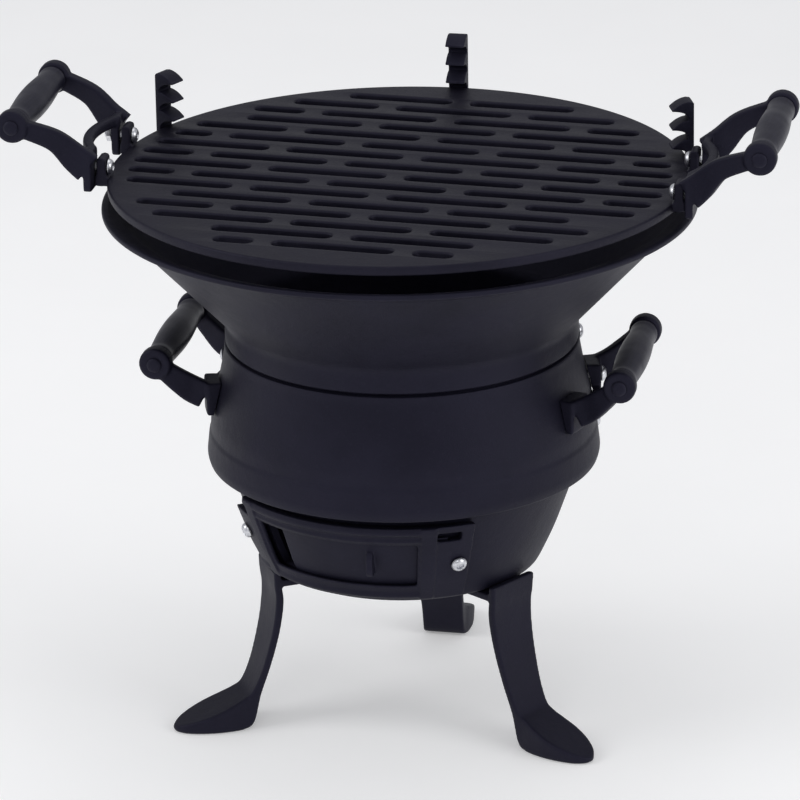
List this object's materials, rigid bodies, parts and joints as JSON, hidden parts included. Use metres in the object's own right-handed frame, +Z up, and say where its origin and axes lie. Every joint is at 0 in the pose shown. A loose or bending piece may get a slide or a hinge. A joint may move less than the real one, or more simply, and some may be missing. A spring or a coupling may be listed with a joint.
{
  "type": "hibachi grill",
  "caption": "Cast-iron barrel charcoal grill: funnel fire bowl on a banded barrel and vented base bowl, splayed footed legs, slotted lift-off grate, toothed brackets and turned wooden grips.",
  "frame": {"origin": "on the ground, on the vertical axis of the barrel", "axes": "+Z up; -Y towards the front; the carrying handles are at -X and +X, turned 4.7 degrees about Z"},
  "size_m": [0.4888, 0.368, 0.3992],
  "materials": {
    "body_iron": "matt black heat-resistant paint on sand-cast iron, fine grain",
    "grate_iron": "matt black sand-cast iron, seasoned, a little smoother than the body",
    "grip_black_wood": "turned hardwood, satin black lacquer",
    "fastener_zinc": "bright zinc-plated steel"
  },
  "bodies": {
    "stand": {"barrel": "body_iron", "base_bowl": "body_iron", "bracket_back": "body_iron", "bracket_bolt_back": "fastener_zinc", "bracket_bolt_left": "fastener_zinc", "bracket_bolt_right": "fastener_zinc", "bracket_left": "body_iron", "bracket_right": "body_iron", "fire_bowl": "body_iron", "leg_back": "body_iron", "leg_bolt_back": "fastener_zinc", "leg_bolt_left": "fastener_zinc", "leg_bolt_right": "fastener_zinc", "leg_left": "body_iron", "leg_nut_back": "fastener_zinc", "leg_nut_left": "fastener_zinc", "leg_nut_right": "fastener_zinc", "leg_right": "body_iron", "lower_rod_left": "body_iron", "lower_rod_right": "body_iron", "lower_yoke_left": "body_iron", "lower_yoke_right": "body_iron", "neck_bolt_back": "fastener_zinc", "neck_bolt_left": "fastener_zinc", "neck_bolt_right": "fastener_zinc", "skirt_bolt_back": "fastener_zinc", "skirt_bolt_left": "fastener_zinc", "skirt_bolt_right": "fastener_zinc", "vent_bolt_left": "fastener_zinc", "vent_bolt_right": "fastener_zinc", "vent_frame": "body_iron", "yoke_bolt_left_a": "fastener_zinc", "yoke_bolt_left_b": "fastener_zinc", "yoke_bolt_right_a": "fastener_zinc", "yoke_bolt_right_b": "fastener_zinc"},
    "cooking_grate": {"cooking_grate": "grate_iron", "ear_bolt_left_a": "fastener_zinc", "ear_bolt_left_b": "fastener_zinc", "ear_bolt_right_a": "fastener_zinc", "ear_bolt_right_b": "fastener_zinc", "ear_nut_left_a": "fastener_zinc", "ear_nut_left_b": "fastener_zinc", "ear_nut_right_a": "fastener_zinc", "ear_nut_right_b": "fastener_zinc", "upper_rod_left": "body_iron", "upper_rod_right": "body_iron", "upper_yoke_left": "body_iron", "upper_yoke_right": "body_iron"},
    "charcoal_grate": {"charcoal_grate": "grate_iron"},
    "vent_shutter": {"vent_shutter": "body_iron"},
    "upper_grip_right": {"upper_grip_right": "grip_black_wood"},
    "upper_grip_left": {"upper_grip_left": "grip_black_wood"},
    "lower_grip_right": {"lower_grip_right": "grip_black_wood"},
    "lower_grip_left": {"lower_grip_left": "grip_black_wood"}
  },
  "joints": [
    {"name": "grate_slide", "type": "slide", "parent": "stand", "child": "cooking_grate", "axis": [0, -1, 0], "range_m": [0, 0.03]},
    {"name": "charcoal_grate_lift", "type": "slide", "parent": "stand", "child": "charcoal_grate", "axis": [0, 0, 1], "range_m": [0, 0.07]},
    {"name": "vent_turn", "type": "hinge", "parent": "stand", "child": "vent_shutter", "pos_m": [0, 0, 0.135], "axis": [0, 0, 1], "range_deg": [-19, 0]},
    {"name": "upper_grip_right_turn", "type": "hinge", "parent": "cooking_grate", "child": "upper_grip_right", "pos_m": [0.22983, 0.01889, 0.389], "axis": [-0.0819, 0.9966, 0], "continuous": true},
    {"name": "upper_grip_left_turn", "type": "hinge", "parent": "cooking_grate", "child": "upper_grip_left", "pos_m": [-0.22983, -0.01889, 0.389], "axis": [0.0819, -0.9966, 0], "continuous": true},
    {"name": "lower_grip_right_turn", "type": "hinge", "parent": "stand", "child": "lower_grip_right", "pos_m": [0.14481, 0.01191, 0.2391], "axis": [-0.0819, 0.9966, 0], "continuous": true},
    {"name": "lower_grip_left_turn", "type": "hinge", "parent": "stand", "child": "lower_grip_left", "pos_m": [-0.14481, -0.01191, 0.2391], "axis": [0.0819, -0.9966, 0], "continuous": true}
  ]
}
